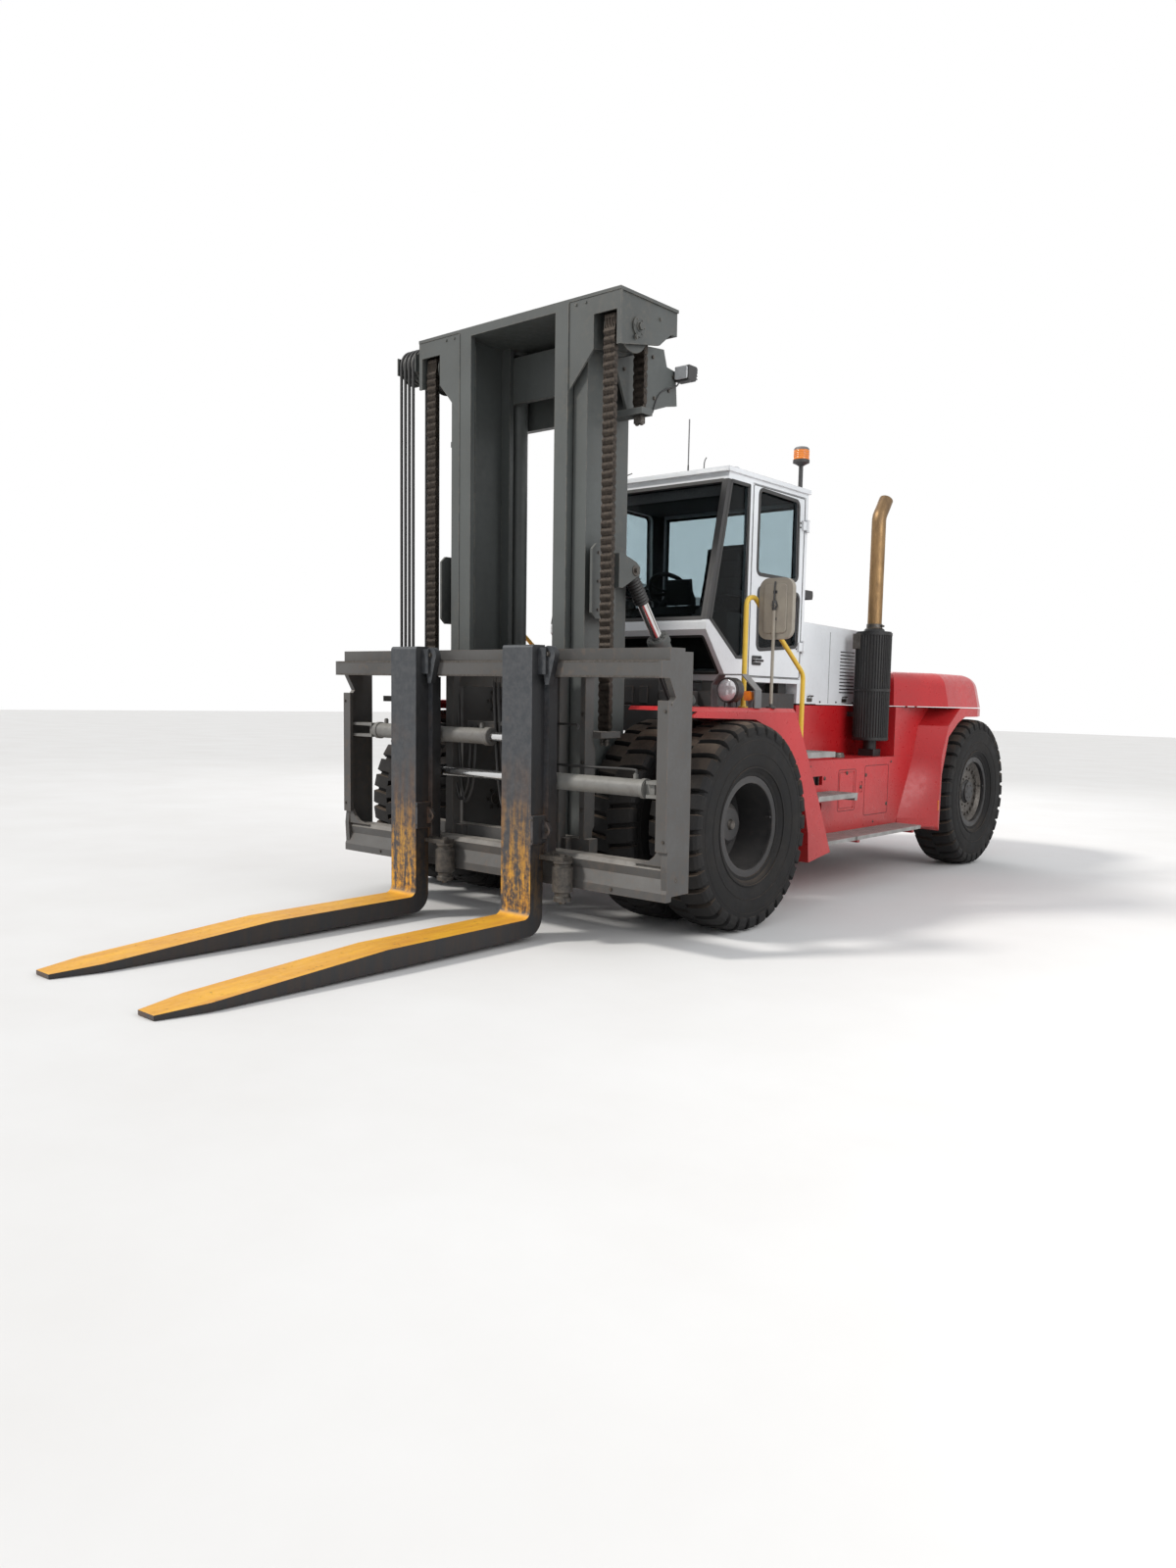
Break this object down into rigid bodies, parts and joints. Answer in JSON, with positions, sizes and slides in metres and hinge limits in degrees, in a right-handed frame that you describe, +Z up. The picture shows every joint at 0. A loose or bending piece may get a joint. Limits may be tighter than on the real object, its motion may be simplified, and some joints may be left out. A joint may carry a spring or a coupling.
{
  "type": "forklift truck",
  "caption": "Heavy diesel forklift truck with a two stage mast, side shifting fork frame, long forks, lugged twin drive tyres and a glazed cab.",
  "frame": {"origin": "on the ground, under the middle of the truck's whole box", "axes": "+Y along the truck towards its counterweight, +X to the truck's left, +Z up; the forks point along -Y"},
  "size_m": [3.1591, 8.6448, 4.0013],
  "materials": {
    "red_paint": "worn satin",
    "white_paint": "worn satin",
    "mast_paint": "worn matte",
    "black_paint": "satin",
    "yellow_paint": "worn satin",
    "fork_steel": "rusty, worn",
    "galvanised_steel": "worn, dusty",
    "chrome_rod": "polished",
    "chain_steel": "oiled",
    "tyre_rubber": "matte",
    "hose_rubber": "matte",
    "exhaust_metal": "heat stained",
    "window_glass": "tinted",
    "cab_plastic": "matte",
    "seat_fabric": "woven"
  },
  "bodies": {
    "chassis": {"frame": "black_paint", "front_axle": "black_paint", "front_fenders": "red_paint", "side_boxes": "red_paint", "rear_body": "red_paint", "engine": "black_paint", "rear_axle": "black_paint", "cab_shell": "white_paint", "cab_glass": "window_glass", "cab_fittings": "cab_plastic", "seat_cushions": "seat_fabric", "muffler": "exhaust_metal", "handrails": "yellow_paint", "mirrors": "cab_plastic", "lamps": "cab_plastic", "steps": "galvanised_steel"},
    "engine_hood": {"engine_hood": "white_paint"},
    "rear_hood": {"rear_hood": "red_paint"},
    "door_left": {"door_left": "white_paint", "door_left_glass": "window_glass"},
    "door_right": {"door_right": "white_paint", "door_right_glass": "window_glass"},
    "front_wheel_left": {"front_tyres_left": "tyre_rubber", "front_rims_left": "black_paint"},
    "front_wheel_right": {"front_tyres_right": "tyre_rubber", "front_rims_right": "black_paint"},
    "knuckle_left": {"knuckle_left": "black_paint"},
    "knuckle_right": {"knuckle_right": "black_paint"},
    "rear_wheel_left": {"rear_tyre_left": "tyre_rubber", "rear_rim_left": "black_paint"},
    "rear_wheel_right": {"rear_tyre_right": "tyre_rubber", "rear_rim_right": "black_paint"},
    "steer_rod": {"steer_rod": "chrome_rod"},
    "steer_link_left": {"steer_link_left": "black_paint"},
    "steer_link_right": {"steer_link_right": "black_paint"},
    "outer_mast": {"outer_mast": "mast_paint", "mast_brackets": "mast_paint", "lift_barrels": "mast_paint"},
    "inner_mast": {"inner_mast": "mast_paint", "lift_rods": "chrome_rod", "mast_chains": "chain_steel", "mast_hoses": "hose_rubber"},
    "carriage": {"carriage": "mast_paint"},
    "fork_frame": {"shift_frame": "mast_paint", "fork_cylinders": "mast_paint"},
    "fork_left": {"fork_left": "fork_steel"},
    "fork_right": {"fork_right": "fork_steel"},
    "tilt_barrel_left": {"tilt_barrel_left": "mast_paint"},
    "tilt_barrel_right": {"tilt_barrel_right": "mast_paint"},
    "tilt_rod_left": {"tilt_rod_left": "chrome_rod"},
    "tilt_rod_right": {"tilt_rod_right": "chrome_rod"}
  },
  "joints": [
    {"name": "front_wheel_left_spin", "type": "hinge", "parent": "chassis", "child": "front_wheel_left", "pos_m": [1.02225, -0.63958, 0.685], "axis": [1, 0, 0], "continuous": true},
    {"name": "front_wheel_right_spin", "type": "hinge", "parent": "chassis", "child": "front_wheel_right", "pos_m": [-1.15875, -0.63958, 0.685], "axis": [1, 0, 0], "continuous": true},
    {"name": "steer_left", "type": "hinge", "parent": "chassis", "child": "knuckle_left", "pos_m": [0.90675, 3.61042, 0.685], "axis": [0, 0, 1], "range_deg": [-60, 60]},
    {"name": "steer_right", "type": "hinge", "parent": "chassis", "child": "knuckle_right", "pos_m": [-1.04325, 3.61042, 0.685], "axis": [0, 0, 1], "range_deg": [-60, 60]},
    {"name": "rear_wheel_left_spin", "type": "hinge", "parent": "knuckle_left", "child": "rear_wheel_left", "pos_m": [1.05675, 3.61042, 0.685], "axis": [1, 0, 0], "continuous": true},
    {"name": "rear_wheel_right_spin", "type": "hinge", "parent": "knuckle_right", "child": "rear_wheel_right", "pos_m": [-1.19325, 3.61042, 0.685], "axis": [1, 0, 0], "continuous": true},
    {"name": "steer_link_left_turn", "type": "hinge", "parent": "knuckle_left", "child": "steer_link_left", "pos_m": [0.90675, 3.44042, 0.685], "axis": [0, 0, 1], "range_deg": [-60, 60]},
    {"name": "steer_link_right_turn", "type": "hinge", "parent": "knuckle_right", "child": "steer_link_right", "pos_m": [-1.04325, 3.44042, 0.685], "axis": [0, 0, 1], "range_deg": [-60, 60]},
    {"name": "steer_rod_slide", "type": "slide", "parent": "chassis", "child": "steer_rod", "axis": [1, 0, 0], "range_m": [-0.148, 0.148]},
    {"name": "door_left_swing", "type": "hinge", "parent": "chassis", "child": "door_left", "pos_m": [0.69975, 1.21442, 2.4], "axis": [0, 0, 1], "range_deg": [0, 85]},
    {"name": "door_right_swing", "type": "hinge", "parent": "chassis", "child": "door_right", "pos_m": [-0.83625, 1.21442, 2.4], "axis": [0, 0, -1], "range_deg": [0, 85]},
    {"name": "engine_hood_lift", "type": "hinge", "parent": "chassis", "child": "engine_hood", "pos_m": [-0.78425, 1.77642, 1.5], "axis": [0, -1, 0], "range_deg": [0, 80]},
    {"name": "rear_hood_lift", "type": "hinge", "parent": "chassis", "child": "rear_hood", "pos_m": [-0.06825, 4.30842, 1.504], "axis": [-1, 0, 0], "range_deg": [0, 60]},
    {"name": "mast_tilt", "type": "hinge", "parent": "chassis", "child": "outer_mast", "pos_m": [-0.06825, -0.90958, 0.42], "axis": [-1, 0, 0], "range_deg": [-4.2, 10.8]},
    {"name": "mast_lift", "type": "slide", "parent": "outer_mast", "child": "inner_mast", "axis": [0, -0.014, 0.9999], "range_m": [0, 2]},
    {"name": "carriage_lift", "type": "slide", "parent": "inner_mast", "child": "carriage", "axis": [0, -0.014, 0.9999], "range_m": [0, 2]},
    {"name": "side_shift", "type": "slide", "parent": "carriage", "child": "fork_frame", "axis": [1, 0, 0], "range_m": [-0.422, 0.078]},
    {"name": "fork_left_slide", "type": "slide", "parent": "fork_frame", "child": "fork_left", "axis": [1, 0, 0], "range_m": [-0.178, 0.692]},
    {"name": "fork_right_slide", "type": "slide", "parent": "fork_frame", "child": "fork_right", "axis": [1, 0, 0], "range_m": [-0.562, 0.308]},
    {"name": "tilt_barrel_left_turn", "type": "hinge", "parent": "chassis", "child": "tilt_barrel_left", "pos_m": [0.63175, -0.24658, 1.405], "axis": [1, 0, 0], "range_deg": [-15.42, 6.18]},
    {"name": "tilt_rod_left_slide", "type": "slide", "parent": "tilt_barrel_left", "child": "tilt_rod_left", "axis": [0, -0.6208, 0.784], "range_m": [-0.2065, 0.0815]},
    {"name": "tilt_barrel_right_turn", "type": "hinge", "parent": "chassis", "child": "tilt_barrel_right", "pos_m": [-0.76825, -0.24658, 1.405], "axis": [1, 0, 0], "range_deg": [-15.42, 6.18]},
    {"name": "tilt_rod_right_slide", "type": "slide", "parent": "tilt_barrel_right", "child": "tilt_rod_right", "axis": [0, -0.6208, 0.784], "range_m": [-0.2065, 0.0815]}
  ],
  "couplings": [
    {"joint": "steer_right", "follows": "steer_left", "ratio": 1},
    {"joint": "steer_link_left_turn", "follows": "steer_left", "ratio": -1},
    {"joint": "steer_link_right_turn", "follows": "steer_left", "ratio": -1},
    {"joint": "steer_rod_slide", "follows": "steer_left", "m_per_rad": 0.1405},
    {"joint": "carriage_lift", "follows": "mast_lift", "ratio": 1},
    {"joint": "tilt_barrel_left_turn", "follows": "mast_tilt", "ratio": -1.4},
    {"joint": "tilt_rod_left_slide", "follows": "mast_tilt", "m_per_rad": -1.085},
    {"joint": "tilt_barrel_right_turn", "follows": "mast_tilt", "ratio": -1.4},
    {"joint": "tilt_rod_right_slide", "follows": "mast_tilt", "m_per_rad": -1.085}
  ]
}
